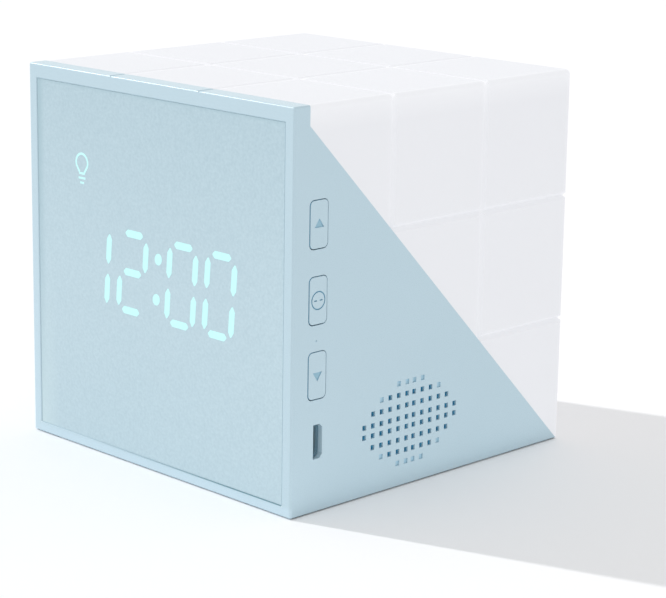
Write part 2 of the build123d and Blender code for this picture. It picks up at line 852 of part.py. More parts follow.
def make_tray():
    """The white reflector tray under the slope, resting on four seats."""
    half = inner_x - tray_gap
    sheet = slope.location * block((-half, half), (-depth, slope_long + depth), (tray_under, tray_top))
    room_y = (ledge_back + tray_gap, post_y[0] - tray_gap)
    tray = sheet & block((-half, half), room_y, (floor_z + tray_gap, top))
    holes = [tray_screw_place(side, at) * pilot(screw_long) for side, at in tray_seats]
    drill = along_z(Circle(lead_hole_dia / 2), (tray_under - cut, tray_top + cut))
    holes.append(slope.location * Pos(lamp_socket_x, lead_hole_at, 0) * drill)
    return tray - holes


lamp_top = tray_top + lamp_board_thick
lamp_board_from = lead_hole_at + lead_hole_dia / 2 + lamp_board_clear
lamp_board_middle = lamp_board_from + lamp_board_long / 2


def make_lamp_board():
    """The aluminium lamp board on the tray."""
    half = lamp_board_wide / 2
    reach = (lamp_board_from, lamp_board_from + lamp_board_long)
    return slope.location * block((-half, half), reach, (tray_top, lamp_top))


def make_lamp_chips():
    """A square grid of lamp chips on the lamp board."""
    chips = []
    for across in range(lamp_chip_count):
        for along in range(lamp_chip_count):
            x = (across - (lamp_chip_count - 1) / 2) * lamp_chip_pitch
            s = lamp_board_middle + (along - (lamp_chip_count - 1) / 2) * lamp_chip_pitch
            chip = Box(lamp_chip_wide, lamp_chip_long, lamp_chip_tall)
            chips.append(slope.location * Pos(x, s, lamp_top + lamp_chip_tall / 2) * chip)
    return Compound(children=chips)


def make_battery_leads():
    """Wires from the top of the cell to its socket."""
    y = battery_y[0] + battery_round + lead_inset
    points = [
        (battery_socket_x, y, battery_z[1]),
        (battery_socket_x, y, battery_socket_z),
        (battery_socket_x, socket_rear, battery_socket_z),
    ]
    return lead(points, (1, 0, 0))


def make_speaker_leads():
    """Wires from the back of the basket to their socket."""
    y = speaker_y - magnet_dia / 2 - lead_dia / 2
    points = [
        (basket_rear, y, speaker_socket_z),
        (speaker_socket_x, y, speaker_socket_z),
        (speaker_socket_x, socket_rear, speaker_socket_z),
    ]
    return lead(points, (0, 0, 1))


def make_lamp_leads():
    """Wires from the lamp board, through the tray, to their socket."""
    above = lamp_top + lead_dia / 2
    start = slope_yz(lamp_board_from + lead_inset, above)
    over_hole = slope_yz(lead_hole_at, above)
    points = [
        (lamp_socket_x, *start),
        (lamp_socket_x, *over_hole),
        (lamp_socket_x, *lead_hole_under),
        (lamp_socket_x, lead_hole_under[0], lamp_socket_z),
        (lamp_socket_x, socket_rear, lamp_socket_z),
    ]
    return lead(points, (1, 0, 0))


def make_feet():
    """Four rubber feet set into the floor."""
    foot = Circle(foot_dia / 2)
    return Compound(children=[along_z(Pos(x, y) * foot, (0, low + foot_seat)) for x, y in foot_spots])


def make_board_screws():
    """Screws that hold the board on its posts."""
    places = [board_screw_place(x, z, board_rear) for x, z in board_posts]
    return Compound(children=[place * screw(screw_long) for place in places])


def make_tray_screws():
    """Screws that hold the tray on its seats."""
    return Compound(children=[tray_screw_place(side, at) * screw(screw_long) for side, at in tray_seats])


def make_shade_screws():
    """Screws from below that hold the shade's posts on the floor."""
    return Compound(children=[shade_screw_place(side) * screw(screw_long) for side in (-1, 1)])


def make_speaker_screws():
    """Screws that clamp the speaker's washers."""
    reach = boss_screw_long + washer_thick
    places = [speaker_screw_place(y, ear_top - washer_thick) for y in speaker_screws]
    return Compound(children=[place * screw(reach) for place in places])


save("base_housing", make_base())
save("front_panel", make_panel())
save("lamp_shade", make_shade())
save("display_film", make_film())
save("digit_mask", make_mask())
save("segment_leds", make_segment_leds())
save("main_board", make_main_board())
save("control_chips", make_chips())
save("lead_sockets", make_lead_sockets())
save("switch_bodies", make_switch_bodies())
for key, key_z in keys.items():
    save(f"{key}_button", make_key(key, key_z))
    save(f"{key}_plunger", make_plunger(key_z))
save("charging_socket_shell", make_usb_shell())
save("charging_socket_tongue", make_usb_tongue())
save("speaker_gasket", make_gasket())
save("speaker_basket", make_basket())
save("speaker_cone", make_cone())
save("voice_coil", make_coil())
save("speaker_magnet", make_magnet())
save("speaker_washers", make_speaker_washers())
save("speaker_screws", make_speaker_screws())
save("battery_cell", make_battery())
save("battery_tape", make_battery_tape())
save("lamp_tray", make_tray())
save("lamp_board", make_lamp_board())
save("lamp_chips", make_lamp_chips())
save("battery_leads", make_battery_leads())
save("speaker_leads", make_speaker_leads())
save("lamp_leads", make_lamp_leads())
save("rubber_feet", make_feet())
save("board_screws", make_board_screws())
save("tray_screws", make_tray_screws())
save("shade_screws", make_shade_screws())
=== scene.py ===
import math

import bmesh
import bpy
from mathutils import Matrix, Vector


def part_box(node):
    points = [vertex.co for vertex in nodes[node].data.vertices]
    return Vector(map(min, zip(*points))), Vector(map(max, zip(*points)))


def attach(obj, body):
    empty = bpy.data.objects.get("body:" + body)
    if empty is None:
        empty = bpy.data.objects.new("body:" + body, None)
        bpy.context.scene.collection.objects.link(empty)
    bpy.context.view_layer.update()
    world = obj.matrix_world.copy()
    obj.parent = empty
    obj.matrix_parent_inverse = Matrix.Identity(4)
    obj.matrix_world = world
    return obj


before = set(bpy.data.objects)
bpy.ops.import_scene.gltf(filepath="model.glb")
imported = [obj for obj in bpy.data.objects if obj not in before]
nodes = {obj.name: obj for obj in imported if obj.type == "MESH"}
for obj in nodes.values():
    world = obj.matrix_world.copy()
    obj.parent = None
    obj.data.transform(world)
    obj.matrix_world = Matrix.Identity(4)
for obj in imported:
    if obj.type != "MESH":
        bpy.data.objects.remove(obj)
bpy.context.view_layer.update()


# Base housing: one injection moulding in pale blue ABS with the front frame, both cheeks and the
# floor. Its fine, even grain comes from the spark-eroded mould. Painted light makes it paler low
# on the frame, painted shade makes it deeper in the grille and darker on the panel's sill, which is
# also duller, and painted shadow darkens the right cheek's bottom edge.


class Wire:
    """One socket of a shader tree. Arithmetic on it adds Math nodes to the same tree."""

    def __init__(self, socket):
        self.socket = socket
        self.tree = socket.id_data

    def add(self, kind, settings=None, sockets=None, output=0):
        """A new node: its settings first, then the values or links of its sockets."""
        node = self.tree.nodes.new(kind)
        for name, value in (settings or {}).items():
            setattr(node, name, value)
        for name, value in (sockets or {}).items():
            if isinstance(value, Wire):
                self.tree.links.new(value.socket, node.inputs[name])
            else:
                node.inputs[name].default_value = value
        return Wire(node.outputs[output]) if node.outputs else None

    def math(self, operation, first, second):
        return self.add("ShaderNodeMath", {"operation": operation}, {0: first, 1: second})

    def __add__(self, other):
        return self.math("ADD", self, other)

    __radd__ = __add__

    def __sub__(self, other):
        return self.math("SUBTRACT", self, other)

    def __rsub__(self, other):
        return self.math("SUBTRACT", other, self)

    def __mul__(self, other):
        return self.math("MULTIPLY", self, other)

    __rmul__ = __mul__

    def __or__(self, other):
        return self.math("MAXIMUM", self, other)

    __ror__ = __or__

    def __and__(self, other):
        return self.math("MINIMUM", self, other)

    __rand__ = __and__

    def __lt__(self, other):
        return self.math("LESS_THAN", self, other)

    def __gt__(self, other):
        return self.math("GREATER_THAN", self, other)

    def __abs__(self):
        return self.math("ABSOLUTE", self, 0.0)

    def axis(self, index):
        """One coordinate of a vector: 0 is X, 1 is Y, 2 is Z."""
        return self.add("ShaderNodeSeparateXYZ", sockets={0: self}, output=index)

    def noise(self, scale, detail=2.0):
        return self.add("ShaderNodeTexNoise", sockets={
            "Vector": self, "Scale": scale, "Detail": detail,
        })

    def tint(self, low, high):
        """A colour between two, the wire being the share of the second."""
        return self.add("ShaderNodeMix", {"data_type": "RGBA"}, {0: self, 6: low, 7: high}, 2)

    def bump(self, depth, strength=1.0):
        return self.add(
            "ShaderNodeBump", sockets={"Height": self, "Distance": depth, "Strength": strength}
        )

    def surface(self, sockets):
        """The finished shader of a material, with fixed values straight on its own sockets."""
        shader = self.add("ShaderNodeBsdfPrincipled", sockets=sockets)
        self.add("ShaderNodeOutputMaterial", sockets={"Surface": shader})


def seen(red, green, blue):
    """A colour as it looks, from 0 to 255, in the renderer's linear scale."""
    shares = [value / 255 for value in (red, green, blue)]
    linear = [s / 12.92 if s <= 0.04045 else ((s + 0.055) / 1.055) ** 2.4 for s in shares]
    return (*linear, 1.0)


def start(name):
    """A new material and the coordinates of the piece that wears it."""
    material = bpy.data.materials.new(name)
    material.use_nodes = True
    material.node_tree.nodes.clear()
    coordinates = material.node_tree.nodes.new("ShaderNodeTexCoord")
    return material, Wire(coordinates.outputs["Object"])


def dress(material, *names):
    """Give CAD nodes their finish."""
    for name in names:
        for slot in nodes[name].material_slots:
            slot.material = material


cheek_wall = 0.0022
hole_lip = 0.00025
hole_fade = 0.0005
grille_from = 0.015
sill_drop = 0.0003
sill_gap = 0.00007
edge_high = 0.0002
edge_in = 0.0004
front_deep = 0.0006
rail_fade = 0.001
sill_shade_middle = 0.5
sill_shade_rise = 20.0
moulded_blue = (seen(191, 215, 226), seen(195, 218, 229))
housing_low, housing_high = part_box("base_housing")
panel_low, panel_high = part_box("front_panel")
housing_blue, spot = start("housing_blue")
drift = spot.noise(24.0, 3.0)
grain = spot.noise(5200.0, 1.0)
face = drift.tint(*moulded_blue)
# Painted light: the left stile and bottom rail of the front grow paler towards the bottom, as if lit
# from the floor.
beside_panel = (panel_low.x - spot.axis(0)) | (panel_low.z - spot.axis(2)) | 0.0
rail = (beside_panel * (1 / rail_fade)) & 1.0
low_share = (housing_high.z - spot.axis(2)) * (1 / (housing_high.z - housing_low.z))
painted_rail_light = rail * low_share * (spot.axis(1) < housing_low.y + front_deep)
face = painted_rail_light.tint(face, seen(202, 225, 237))
# Painted shade: the walls of the grille holes turn a deeper blue with depth.
sunk = ((housing_high.x - hole_lip - spot.axis(0)) * (1 / hole_fade)) | 0.0
in_wall = spot.axis(0) > housing_high.x - cheek_wall
at_grille = spot.axis(1) > housing_low.y + grille_from
above_floor = spot.axis(2) > housing_low.z + cheek_wall
hole_shade = sunk * in_wall * at_grille * above_floor
# Painted shade: the panel's sill grows darker teal towards the right; it is also rougher.
sill = (spot.axis(2) > panel_low.z - sill_drop) * (spot.axis(2) < panel_low.z - sill_gap)
sill = sill * (abs(spot.axis(0)) < panel_high.x) * (spot.axis(1) < panel_high.y)
sill_shade = sill * (spot.axis(0) * sill_shade_rise + sill_shade_middle)
# Painted shadow: a dark line along the right cheek's bottom edge, where it stands on the floor.
foot_shadow = (spot.axis(2) < housing_low.z + edge_high) * (spot.axis(0) > housing_high.x - edge_in)
face_painted_light_and_shade = foot_shadow.tint(hole_shade.tint(face, seen(96, 198, 234)), seen(104, 124, 134))
spot.surface({
    "Base Color": sill_shade.tint(face_painted_light_and_shade, seen(112, 150, 162)),
    "Roughness": grain * 0.06 + 0.25 + sill * 0.4,
    "Specular IOR Level": 0.4,
    "Normal": grain.bump(0.000006),
})
dress(housing_blue, "base_housing")


# Rubber feet: four soft discs pressed into round seats in the floor, so that the clock does not
# slide when a key is pressed. The rubber is moulded grey and takes a little dust.
foot_rubber, spot = start("foot_rubber")
dust = spot.noise(900.0, 4.0)
spot.surface({
    "Base Color": dust.tint(seen(96, 102, 106), seen(118, 124, 128)),
    "Roughness": dust * 0.2 + 0.7,
    "Normal": spot.noise(4200.0).bump(0.00002),
})
dress(foot_rubber, "rubber_feet")


# Front panel: a sheet of blue-tinted acrylic bonded on the ledge inside the frame. Its face is
# sand-blasted, so it is duller and finer-speckled than the moulding round it. Light and shade are
# painted into its colour: painted shade darker towards the top, painted shadow in soft bands along
# the top and upper left edges, and painted light paler at the lower left.
left_shade_wide = 0.0018
top_shade_high = 0.0008
corner_light_wide = 0.007
left_shade_depth = 1.4
top_shade_depth = 0.6
corner_light_depth = 0.8
top_shade_fade = 5.6
panel_blue, spot = start("panel_blue")
blast = spot.noise(1500.0, 3.0)
cloud = spot.noise(40.0, 2.0)
# Painted shade: the upper half of the panel darkens towards the top.
above = (spot.axis(2) - (panel_low.z + panel_high.z) / 2) | 0.0
speck_and_top_shade = blast * 0.8 + cloud * 0.1 + 0.05 - above * top_shade_fade
from_left = spot.axis(0) - panel_low.x
up_share = (spot.axis(2) - panel_low.z) * (1 / (panel_high.z - panel_low.z))
# Painted shadow: a soft dark band inside the left edge, stronger higher up, and a thin one under the
# top edge.
left_edge_shade = (left_shade_depth - from_left * (1 / left_shade_wide)) * up_share
top_edge_shade = top_shade_depth - (panel_high.z - spot.axis(2)) * (top_shade_depth / top_shade_high)
plain = speck_and_top_shade.tint(seen(176, 201, 212), seen(206, 227, 236))
# Painted light: the panel is paler at its lower left corner.
low_half = (corner_light_depth - up_share * (corner_light_depth * 2)) | 0.0
corner_painted_light = ((1.0 - from_left * (1 / corner_light_wide)) | 0.0) * low_half
plain = corner_painted_light.tint(plain, seen(206, 227, 232))
spot.surface({
    "Base Color": (left_edge_shade | top_edge_shade | 0.0).tint(plain, seen(172, 199, 209)),
    "Roughness": blast * 0.12 + 0.46,
    "Specular IOR Level": 0.35,
    "Normal": blast.bump(0.00003),
})
dress(panel_blue, "front_panel")


# Lit figures: light from the lamps behind the panel, shaped by the wells of the light box into
# slanted segments and two round dots. It shows on the panel's face as flat, even, pale cyan
# figures with softly rounded tips.
panel_face = panel_low.y
display_height = (housing_low.z + housing_high.z) / 2
lit_proud = 0.00003
digit_slant = 0.08
digit_centres = (-0.0208, -0.0078, 0.0091, 0.0218)
digit_half = 0.00435
digit_row = 0.00906
bar_lift = 0.0005
upright_lift = 0.0002
upright_stagger = 0.00016
upright_rise = 0.00472
colon_x = 0.0009
colon_rise = 0.0047

lit_cyan, spot = start("lit_cyan")
frost = spot.noise(1500.0, 3.0)
spot.surface({
    "Base Color": seen(20, 40, 44),
    "Roughness": 0.8,
    "Specular IOR Level": 0.1,
    "Emission Color": frost.tint(seen(200, 252, 253), seen(212, 255, 255)),
    "Emission Strength": 1.0,
})


def segment_rule():
    """A node tree that sets one rounded six-sided figure on every point and leans the row."""
    tree = bpy.data.node_groups.new("segment_rule", "GeometryNodeTree")
    tree.interface.new_socket("Geometry", in_out="INPUT", socket_type="NodeSocketGeometry")
    sizes = ("Length", "Thickness", "Tip", "Rounding", "Turn", "Proud", "Slant", "Middle")
    for name in sizes:
        tree.interface.new_socket(name, in_out="INPUT", socket_type="NodeSocketFloat")
    tree.interface.new_socket("Finish", in_out="INPUT", socket_type="NodeSocketMaterial")
    tree.interface.new_socket("Geometry", in_out="OUTPUT", socket_type="NodeSocketGeometry")

    def put(kind, settings=None, sockets=None):
        node = tree.nodes.new(kind)
        for name, value in (settings or {}).items():
            setattr(node, name, value)
        for name, value in (sockets or {}).items():
            if isinstance(value, bpy.types.NodeSocket):
                tree.links.new(value, node.inputs[name])
            else:
                node.inputs[name].default_value = value
        return node

    def reckon(operation, first, second):
        return put("ShaderNodeMath", {"operation": operation}, {0: first, 1: second}).outputs[0]

    given = tree.nodes.new("NodeGroupInput").outputs
    hexagon = put("GeometryNodeCurvePrimitiveCircle", {"mode": "RADIUS"}, {
        "Resolution": 6, "Radius": 1.0,
    })
    corner = put("ShaderNodeSeparateXYZ", sockets={0: put("GeometryNodeInputPosition").outputs[0]})
    side = reckon("SIGN", corner.outputs[0], 0.0)
    outward = reckon("ABSOLUTE", corner.outputs[0], 0.0)
    inset = reckon("SUBTRACT", 2.0, reckon("MULTIPLY", outward, 2.0))
    reach = reckon("MULTIPLY", given["Length"], 0.5)
    end = reckon("SUBTRACT", reach, reckon("MULTIPLY", inset, given["Tip"]))
    along = reckon("MULTIPLY", side, end)
    hexagon_rise = math.sqrt(0.75)
    spread = reckon("MULTIPLY", given["Thickness"], 0.5 / hexagon_rise)
    across = reckon("MULTIPLY", corner.outputs[1], spread)
    place = put("ShaderNodeCombineXYZ", sockets={0: along, 1: across})
    shaped = put("GeometryNodeSetPosition", sockets={
        "Geometry": hexagon.outputs["Curve"], "Position": place.outputs[0],
    })
    rounded = put("GeometryNodeFilletCurve", {"mode": "POLY"}, {
        "Curve": shaped.outputs[0], "Count": 5, "Radius": given["Rounding"], "Limit Radius": True,
    })
    face = put("GeometryNodeFillCurve", {"mode": "NGONS"}, {"Curve": rounded.outputs[0]})
    raised = put("GeometryNodeExtrudeMesh", {"mode": "FACES"}, {
        "Mesh": face.outputs[0], "Offset Scale": given["Proud"], "Individual": False,
    })
    under = put("GeometryNodeFlipFaces", sockets={"Mesh": face.outputs[0]})
    joined = put("GeometryNodeJoinGeometry")
    tree.links.new(raised.outputs["Mesh"], joined.inputs[0])
    tree.links.new(under.outputs["Mesh"], joined.inputs[0])
    closed = put("GeometryNodeMergeByDistance", sockets={
        "Geometry": joined.outputs[0], "Distance": 1e-7,
    })
    turned = put("ShaderNodeCombineXYZ", sockets={0: math.pi / 2, 1: given["Turn"]})
    copies = put("GeometryNodeInstanceOnPoints", sockets={
        "Points": given["Geometry"], "Instance": closed.outputs[0], "Rotation": turned.outputs[0],
    })
    whole = put("GeometryNodeRealizeInstances", sockets={"Geometry": copies.outputs[0]})
    point = put("ShaderNodeSeparateXYZ", sockets={0: put("GeometryNodeInputPosition").outputs[0]})
    height = reckon("SUBTRACT", point.outputs[2], given["Middle"])
    lean = reckon("MULTIPLY", height, given["Slant"])
    offset = put("ShaderNodeCombineXYZ", sockets={0: lean})
    leant = put("GeometryNodeSetPosition", sockets={
        "Geometry": whole.outputs[0], "Offset": offset.outputs[0],
    })
    finished = put("GeometryNodeSetMaterial", sockets={
        "Geometry": leant.outputs[0], "Material": given["Finish"],
    })
    tree.links.new(finished.outputs[0], tree.nodes.new("NodeGroupOutput").inputs[0])
    return tree


segment_tree = segment_rule()


def light_figures(name, places, sizes):
    """One mesh of like figures at places given as X and height on the panel."""
    mesh = bpy.data.meshes.new(name)
    mesh.from_pydata([(x, panel_face, z) for x, z in places], [], [])
    piece = bpy.data.objects.new(name, mesh)
    bpy.context.scene.collection.objects.link(piece)
    rule = piece.modifiers.new("rule", "NODES")
    rule.node_group = segment_tree
    given = dict(sizes, Proud=lit_proud, Slant=digit_slant, Middle=display_height, Finish=lit_cyan)
    for socket in segment_tree.interface.items_tree:
        if socket.name in given and socket.in_out == "INPUT":
            rule[socket.identifier] = given[socket.name]
    shown = piece.evaluated_get(bpy.context.evaluated_depsgraph_get())
    piece.data = bpy.data.meshes.new_from_object(shown)
    piece.modifiers.remove(rule)
    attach(piece, "case")


# the bars are named by row, the uprights by side and row; the figures read 12:00
lit_bars = {1: (-1, 0, 1), 2: (-1, 1), 3: (-1, 1)}
lit_uprights = {
    0: ((1, 1), (1, -1)),
    1: ((1, 1), (-1, -1)),
    2: ((1, 1), (1, -1), (-1, 1), (-1, -1)),
    3: ((1, 1), (1, -1), (-1, 1), (-1, -1)),
}
bar_places = [
    (digit_centres[digit], display_height + bar_lift + row * digit_row)
    for digit, rows in lit_bars.items()
    for row in rows
]
upright_middle = display_height + upright_lift
upright_places = [
    (
        digit_centres[digit] + side * digit_half,
        upright_middle + row * upright_rise - side * upright_stagger,
    )
    for digit, spots in lit_uprights.items()
    for side, row in spots
]
colon_places = [(colon_x, display_height + bar_lift + rise) for rise in (-colon_rise, colon_rise)]
light_figures("lit_bars", bar_places, {
    "Length": 0.0064, "Thickness": 0.00175, "Tip": 0.0009, "Rounding": 0.0004, "Turn": 0.0,
})
light_figures("lit_uprights", upright_places, {
    "Length": 0.0075, "Thickness": 0.0018, "Tip": 0.0014, "Rounding": 0.0003, "Turn": math.pi / 2,
})
light_figures("lit_colon", colon_places, {
    "Length": 0.0028, "Thickness": 0.0027, "Tip": 0.0007, "Rounding": 0.0014, "Turn": 0.0,
})


# Lit bulb sign: the same light through a well above the first figure, masked to a thin outline
# of a lamp bulb with two short bars under its neck.
bulb_x = -0.0257
bulb_top = 0.0710
bulb_radius = 0.0021
bulb_line = 0.00056
bulb_neck = 0.0009
bulb_foot = 0.0046
bulb_arc_from = -20
bulb_arc_over = 220
bulb_arc_steps = 24
bulb_bar_line = bulb_line * 0.9
bulb_bars = ((0.0057, 0.0025), (0.0068, 0.0014))


def bulb_outline():
    """Points along the middle of the bulb's line, as X and depth below its top."""
    points = []
    for step in range(bulb_arc_steps + 1):
        turn = math.radians(bulb_arc_from + bulb_arc_over * step / bulb_arc_steps)
        points.append((bulb_radius * math.cos(turn), bulb_radius * (1 - math.sin(turn))))
    lower = [(-bulb_neck, bulb_foot - bulb_line / 2), (-bulb_neck, bulb_foot)]
    return points + lower + [(-x, drop) for x, drop in reversed(lower)]


def stroke(mesh, line, wide, levels, closed=True):
    """A flat line of even width along points in X and height, between two levels in Y."""
    count = len(line)
    stations = []
    for index, point in enumerate(line):
        before = line[index - 1] if closed or index else point
        after = line[(index + 1) % count] if closed or index < count - 1 else point
        run = (Vector(after) - Vector(before)).normalized()
        off = Vector((-run.y, run.x)) * (wide / 2)
        corners = []
        for side in (1, -1):
            edge = Vector(point) + off * side
            for level in levels:
                corners.append(mesh.verts.new((edge.x, level, edge.y)))
        stations.append(corners)
    pairs = list(zip(stations, stations[1:]))
    if closed:
        pairs.append((stations[-1], stations[0]))
    ring = (0, 1, 3, 2)
    for one, two in pairs:
        for a, b in zip(ring, ring[1:] + ring[:1]):
            mesh.faces.new((one[a], one[b], two[b], two[a]))
    if not closed:
        for end in (stations[0], stations[-1]):
            mesh.faces.new([end[corner] for corner in ring])


def set_in_frame(drawn, name, finish):
    """Close a drawn mesh as a piece of the case, with its finish."""
    bmesh.ops.recalc_face_normals(drawn, faces=drawn.faces)
    mesh = bpy.data.meshes.new(name)
    drawn.to_mesh(mesh)
    drawn.free()
    mesh.materials.append(finish)
    piece = bpy.data.objects.new(name, mesh)
    bpy.context.scene.collection.objects.link(piece)
    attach(piece, "case")


bulb = bmesh.new()
lit_levels = (panel_face - lit_proud, panel_face)
outline = [(bulb_x + x, bulb_top - drop - bulb_line / 2) for x, drop in bulb_outline()]
stroke(bulb, outline, bulb_line, lit_levels)
for drop, long in bulb_bars:
    ends = [(bulb_x + share * long / 2, bulb_top - drop - bulb_line / 2) for share in (-1, 1)]
    stroke(bulb, ends, bulb_bar_line, lit_levels, closed=False)
set_in_frame(bulb, "lit_bulb", lit_cyan)


# Panel bead: the clear adhesive that bonds the panel wells up in the joint round it, just below
# its face, and looks like a fine line a little darker than the panel.
joint_middle = 0.00006
bead_wide = 0.0001
bead_drop = 0.00005
bead_deep = 0.0006
bead_blue, spot = start("bead_blue")
flow = spot.noise(400.0, 3.0)
spot.surface({
    "Base Color": flow.tint(seen(172, 200, 211), seen(184, 210, 220)),
    "Roughness": flow * 0.1 + 0.5,
})
bead = bmesh.new()
bead_low = Vector((panel_low.x, panel_low.z)) - Vector((joint_middle, joint_middle))
bead_high = Vector((panel_high.x, panel_high.z)) + Vector((joint_middle, joint_middle))
corners = [
    (bead_low.x, bead_low.y),
    (bead_high.x, bead_low.y),
    (bead_high.x, bead_high.y),
    (bead_low.x, bead_high.y),
]
stroke(bead, corners, bead_wide * math.sqrt(2), (panel_face + bead_drop, panel_face + bead_deep))
set_in_frame(bead, "panel_bead", bead_blue)


# Light box behind the panel: a thin diffusing film lies on a white moulding with one well for
# each segment, and a small lamp stands at the bottom of every well.
film_white, spot = start("film_white")
haze = spot.noise(700.0, 4.0)
spot.surface({
    "Base Color": haze.tint(seen(226, 230, 232), seen(240, 242, 243)),
    "Roughness": haze * 0.2 + 0.35,
})
dress(film_white, "display_film")

mask_white, spot = start("mask_white")
flow = spot.noise(120.0, 3.0)
spot.surface({
    "Base Color": flow.tint(seen(232, 233, 230), seen(242, 243, 241)),
    "Roughness": flow * 0.15 + 0.4,
    "Normal": spot.noise(3000.0).bump(0.00001),
})
dress(mask_white, "digit_mask")

led_clear, spot = start("led_clear")
phosphor = spot.noise(2600.0, 2.0)
spot.surface({
    "Base Color": phosphor.tint(seen(206, 226, 222), seen(238, 240, 214)),
    "Roughness": phosphor * 0.2 + 0.15,
    "Coat Weight": 0.4,
})
dress(led_clear, "segment_leds")


# Main board: a green glass-epoxy board behind the light box, screwed on four posts. Copper runs
# lie under its lacquer, and two chips, three lead sockets and three switches are soldered to it.
board_green, spot = start("board_green")
flat = spot.add("ShaderNodeMapping", {"vector_type": "POINT"}, {
    "Vector": spot, "Rotation": (math.pi / 2, 0.0, 0.0),
})
tracks = flat.add("ShaderNodeTexBrick", {"offset": 0.5}, {
    "Vector": flat,
    "Color1": (0.0, 0.0, 0.0, 1.0),
    "Color2": (0.0, 0.0, 0.0, 1.0),
    "Mortar": (1.0, 1.0, 1.0, 1.0),
    "Scale": 220.0,
    "Mortar Size": 0.03,
}, 1)
lacquer = spot.noise(300.0, 3.0)
spot.surface({
    "Base Color": (tracks * 0.6 + lacquer * 0.4).tint(seen(18, 84, 52), seen(60, 138, 86)),
    "Roughness": lacquer * 0.15 + 0.25,
    "Normal": tracks.bump(0.00003),
})
dress(board_green, "main_board")

chip_black, spot = start("chip_black")
pressed = spot.noise(2400.0, 2.0)
spot.surface({
    "Base Color": pressed.tint(seen(30, 31, 33), seen(44, 45, 47)),
    "Roughness": pressed * 0.2 + 0.45,
    "Normal": pressed.bump(0.00001),
})
dress(chip_black, "control_chips", "switch_bodies", "up_plunger", "mode_plunger", "down_plunger")

nylon_cream, spot = start("nylon_cream")
milky = spot.noise(420.0, 3.0)
spot.surface({
    "Base Color": milky.tint(seen(232, 226, 208), seen(241, 237, 222)),
    "Roughness": milky * 0.1 + 0.38,
    "Normal": spot.noise(2800.0).bump(0.00001),
})
dress(nylon_cream, "lead_sockets")

screw_steel, spot = start("screw_steel")
plated = spot.noise(1800.0, 4.0)
spot.surface({
    "Base Color": plated.tint(seen(172, 174, 176), seen(206, 207, 208)),
    "Metallic": 1.0,
    "Roughness": plated * 0.2 + 0.25,
    "Normal": plated.bump(0.00001),
})
dress(screw_steel, "board_screws", "tray_screws", "shade_screws", "speaker_screws", "speaker_washers")


# Keys: three caps of the housing's own plastic, standing flush in the right cheek and guided by
# a collar behind it. Each sign is sunk into the cap and looks a shade deeper than its face. The
# flanks in the gap round it carry painted shade, a deeper teal, save at the right, where the cap
# lies close to the cheek.
sign_sink = 0.0001
sign_reach = (0.0022, 0.0023)
cap_half = 0.0026
flank_shade_fade = 0.0015
arrow_blue = seen(152, 192, 210)
ring_blue = seen(118, 172, 196)
flank_shade_teal = seen(70, 165, 200)
for name, sign_blue in (("up", arrow_blue), ("mode", ring_blue), ("down", arrow_blue)):
    lowest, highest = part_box(f"{name}_button")
    middle = (lowest + highest) / 2
    key_blue, spot = start(f"{name}_key_blue")
    drift = spot.noise(60.0, 3.0)
    grain = spot.noise(5200.0, 1.0)
    face = drift.tint(*moulded_blue)
    beside = abs(spot.axis(1) - middle.y) < sign_reach[0]
    level = abs(spot.axis(2) - middle.z) < sign_reach[1]
    sunk = spot.axis(0) < highest.x - sign_sink
    # Painted shade: the flanks in the gap are a deeper teal, fading out towards the right.
    flank_shade = ((middle.y + cap_half - spot.axis(1)) * (1 / flank_shade_fade)).tint(face, flank_shade_teal)
    spot.surface({
        "Base Color": sunk.tint(face, (beside * level).tint(flank_shade, sign_blue)),
        "Roughness": grain * 0.06 + 0.25,
        "Specular IOR Level": 0.4,
        "Normal": grain.bump(0.000006),
    })
    dress(key_blue, f"{name}_button")


# Charging socket: a folded shell of dull nickelled sheet on the edge of the main board, behind its
# slot in the cheek, round a grey tongue with a row of gilt contacts. Painted light makes the shell
# and tongue paler and bluer, as in the blue slot, and painted shade darkens the shell's front edge.
shell_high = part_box("charging_socket_shell")[1]
front_edge_shade_deep = 0.00005
shell_steel, spot = start("shell_steel")
stretch = spot.add("ShaderNodeMapping", {"vector_type": "POINT"}, {
    "Vector": spot, "Scale": (0.1, 1.0, 1.0),
})
rolled = stretch.noise(3800.0, 3.0)
# Painted light: the nickel is paler and bluer than bare nickel, as lit inside the blue slot.
nickel_and_painted_light = rolled.tint(seen(150, 184, 200), seen(176, 206, 219))
# Painted shade: the shell's front edge is darker.
front_edge_shade = spot.axis(0) > shell_high.x - front_edge_shade_deep
spot.surface({
    "Base Color": front_edge_shade.tint(nickel_and_painted_light, seen(108, 142, 159)),
    "Metallic": 0.25,
    "Roughness": rolled * 0.2 + 0.45,
})
dress(shell_steel, "charging_socket_shell")

tongue_low, tongue_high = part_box("charging_socket_tongue")
contact_pitch = 0.00065
contact_reach = 0.0016
tongue_grey, spot = start("tongue_grey")
up = spot.axis(2) - (tongue_low.z + tongue_high.z) / 2
pitches = up * (1 / contact_pitch)
beat = pitches.math("FRACT", pitches, 0.0)
contact = (beat < 0.5) * (abs(up) < contact_reach)
resin = spot.noise(1600.0, 2.0)
# Painted light: the tongue's grey is paler and bluer, as lit inside the blue slot.
bare_and_painted_light = resin.tint(seen(119, 152, 168), seen(133, 166, 182))
spot.surface({
    "Base Color": contact.tint(bare_and_painted_light, seen(214, 176, 92)),
    "Metallic": contact,
    "Roughness": 0.55 - contact * 0.25,
})
dress(tongue_grey, "charging_socket_tongue")


